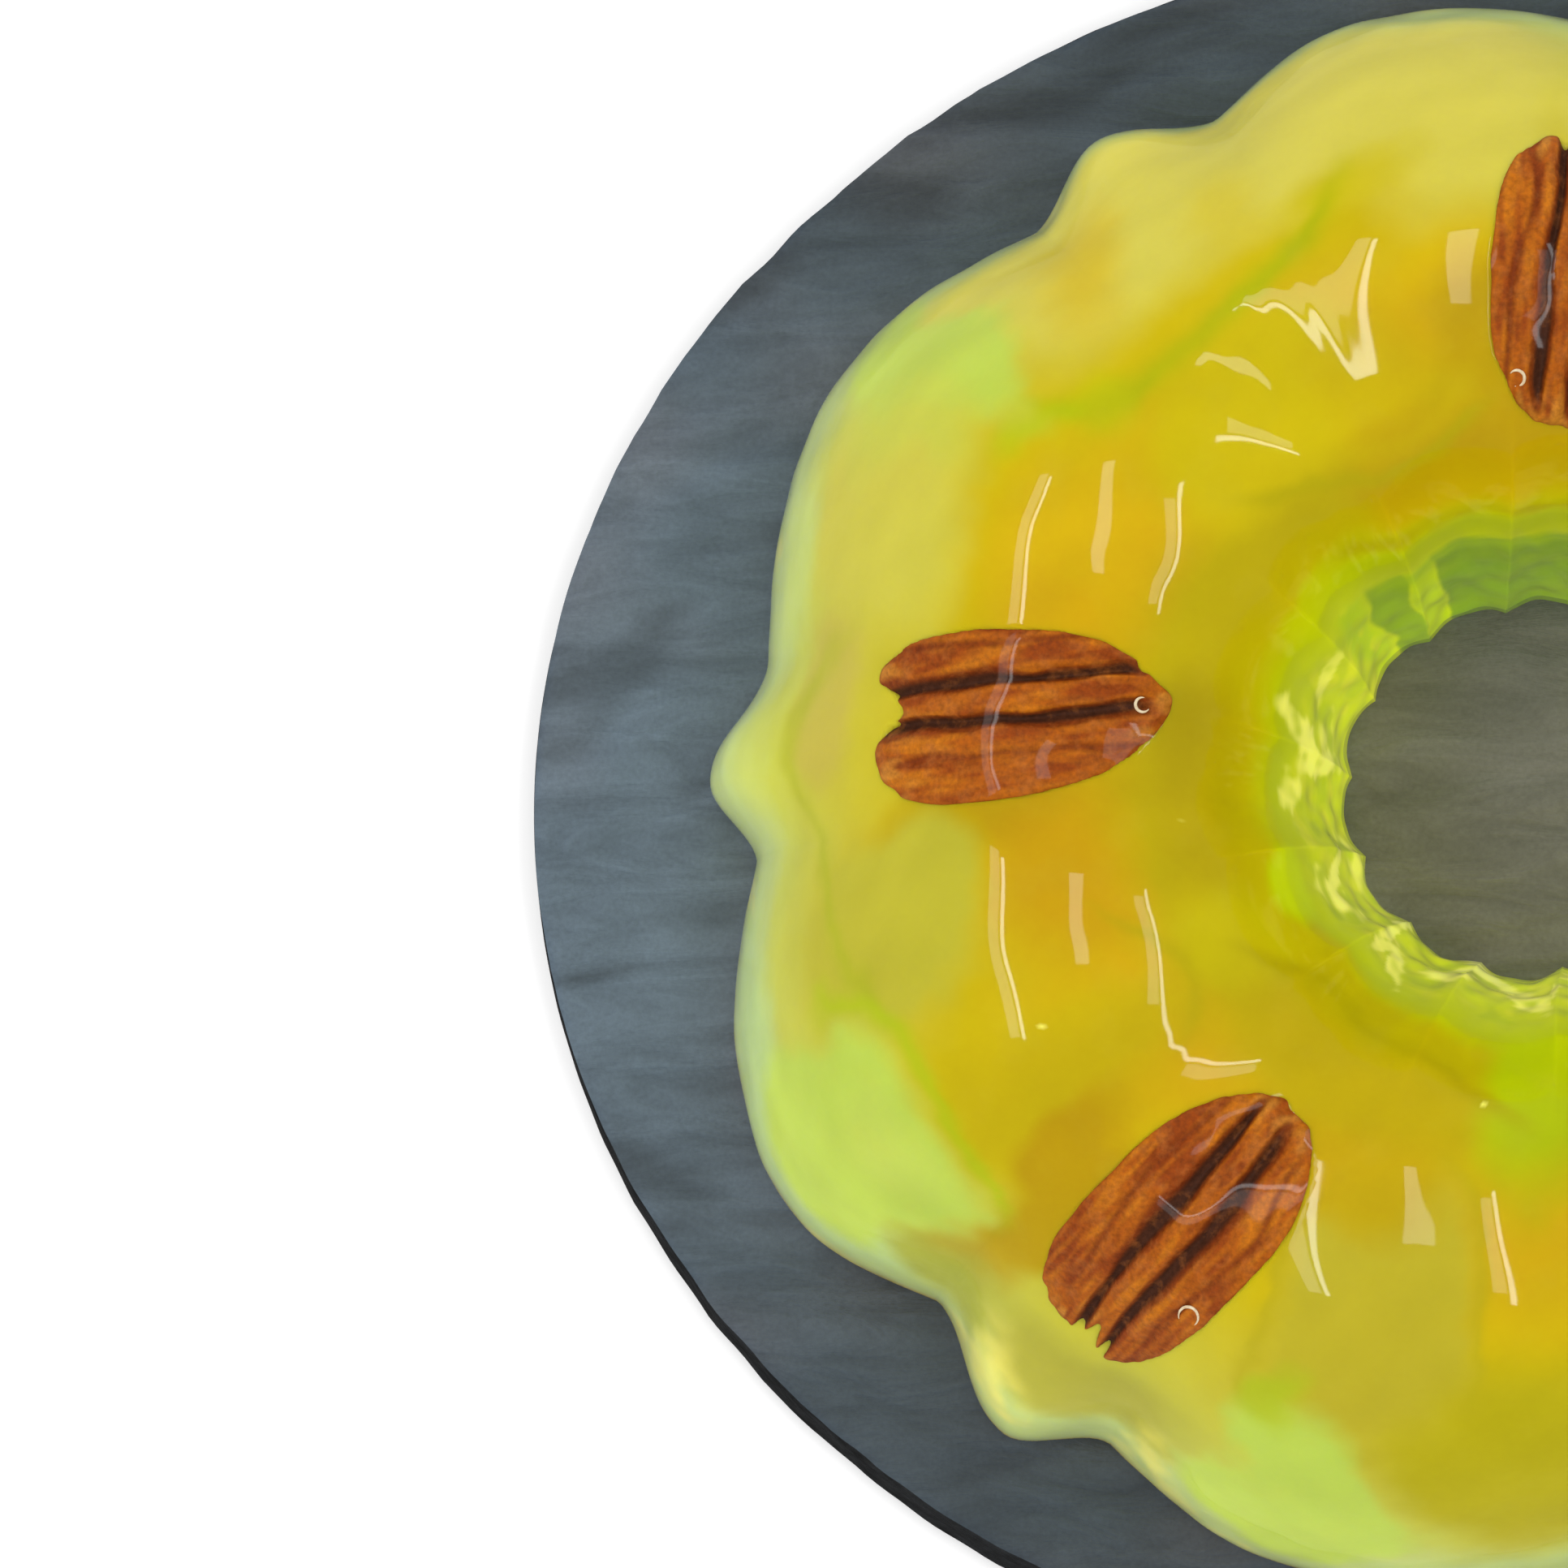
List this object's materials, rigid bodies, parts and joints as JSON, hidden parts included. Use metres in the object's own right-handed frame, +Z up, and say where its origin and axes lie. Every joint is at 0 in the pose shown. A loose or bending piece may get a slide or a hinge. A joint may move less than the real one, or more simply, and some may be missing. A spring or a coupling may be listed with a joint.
{
  "type": "moulded jelly",
  "caption": "Ring-shaped clear yellow-green moulded jelly with fruit slices inside and pecan halves set in its lobed top, on an oval slate plate.",
  "frame": {"origin": "middle of the plate's underside, on the table", "axes": "+Z up, +X along the plate's longer diameter, +Y along its shorter diameter, away from the viewer"},
  "size_m": [0.2496, 0.2184, 0.0654],
  "materials": {
    "slate": "riven dark blue-grey slate with a chipped near-black edge",
    "jelly": "wet glossy translucent yellow-green jelly with pale fruit slices in it",
    "pecan": "glossy brown pecan halves under a thin film of jelly"
  },
  "bodies": {
    "root": {"plate": "slate", "jelly": "jelly", "pecan_1": "pecan", "pecan_2": "pecan", "pecan_3": "pecan", "pecan_4": "pecan", "pecan_5": "pecan"}
  },
  "joints": []
}
